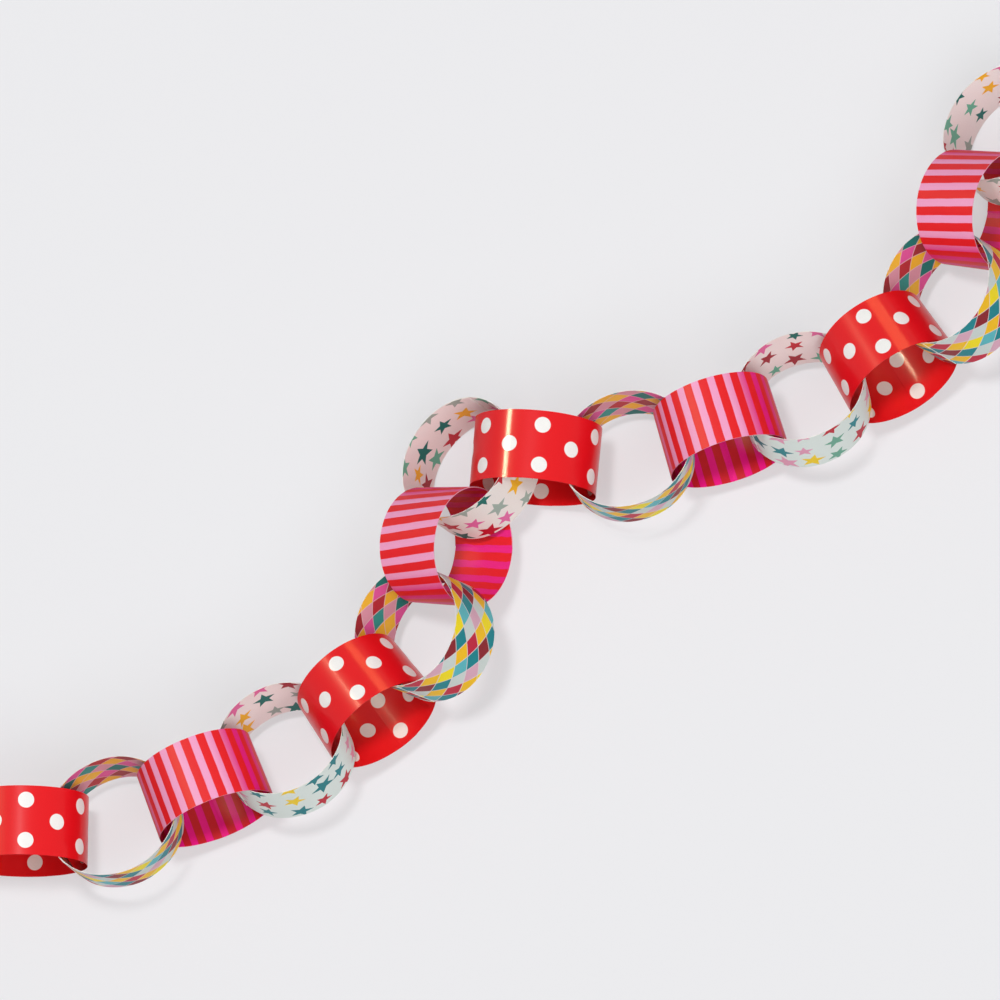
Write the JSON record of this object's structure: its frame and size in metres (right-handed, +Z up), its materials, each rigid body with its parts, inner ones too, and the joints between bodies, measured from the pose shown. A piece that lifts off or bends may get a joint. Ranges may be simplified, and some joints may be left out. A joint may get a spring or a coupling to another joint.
{
  "type": "paper chain garland",
  "caption": "Loose run of interlinked paper rings, each a printed card strip rolled round its neighbour and glued at a lap.",
  "frame": {"origin": "on the table, under the middle of the whole run's box", "axes": "+Z up from the table, +X along the run's longer extent, from its first link to its last"},
  "size_m": [0.5612, 0.4124, 0.0794],
  "materials": {
    "dots_card": "gloss",
    "harlequin_card": "satin",
    "stripes_card": "satin",
    "stars_card": "satin"
  },
  "bodies": {
    "root": {"link_01_dots": "dots_card", "link_02_harlequin": "harlequin_card", "link_03_stripes": "stripes_card", "link_04_stars": "stars_card", "link_05_dots": "dots_card", "link_06_harlequin": "harlequin_card", "link_07_stripes": "stripes_card", "link_08_stars": "stars_card", "link_09_dots": "dots_card", "link_10_harlequin": "harlequin_card", "link_11_stripes": "stripes_card", "link_12_stars": "stars_card", "link_13_dots": "dots_card", "link_14_harlequin": "harlequin_card", "link_15_stripes": "stripes_card", "link_16_stars": "stars_card"}
  },
  "joints": []
}
